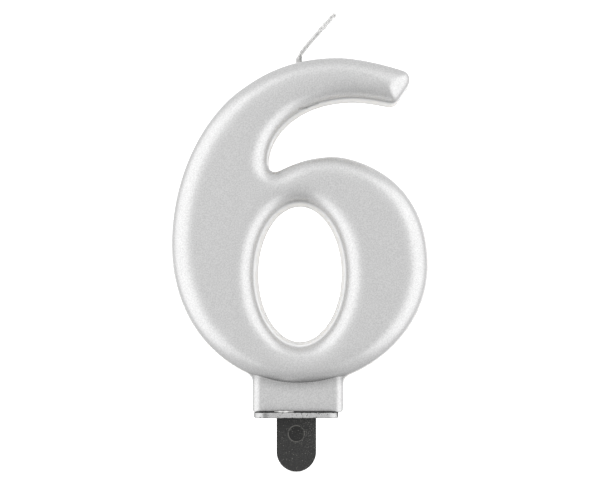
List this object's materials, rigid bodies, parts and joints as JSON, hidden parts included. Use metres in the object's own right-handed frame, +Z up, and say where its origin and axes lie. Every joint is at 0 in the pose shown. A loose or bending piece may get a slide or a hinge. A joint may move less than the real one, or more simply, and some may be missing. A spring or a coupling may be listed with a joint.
{
  "type": "number birthday candle",
  "caption": "Moulded wax candle in the shape of a digit six, with a silver lacquered front, a plaited wick and a flanged plastic pick that holds it in a cake.",
  "frame": {"origin": "centre of the pick's flange, on its underside, which rests on the cake", "axes": "+Z up along the candle's height; +X to the right across the digit as it is read; +Y from the rounded front to the flat back"},
  "size_m": [0.05, 0.012, 0.0884],
  "materials": {
    "silver_lacquered_wax": "fine metallic silver lacquer with a satin sheen, over ivory candle wax that stays bare on the flat back",
    "waxed_cotton": "white plaited cotton, stiffened with wax",
    "black_plastic": "matt injection moulding with light dust, and silver overspray on the flange's edge"
  },
  "bodies": {
    "root": {"wax_body": "silver_lacquered_wax", "wick": "waxed_cotton", "cake_pick": "black_plastic"}
  },
  "joints": []
}
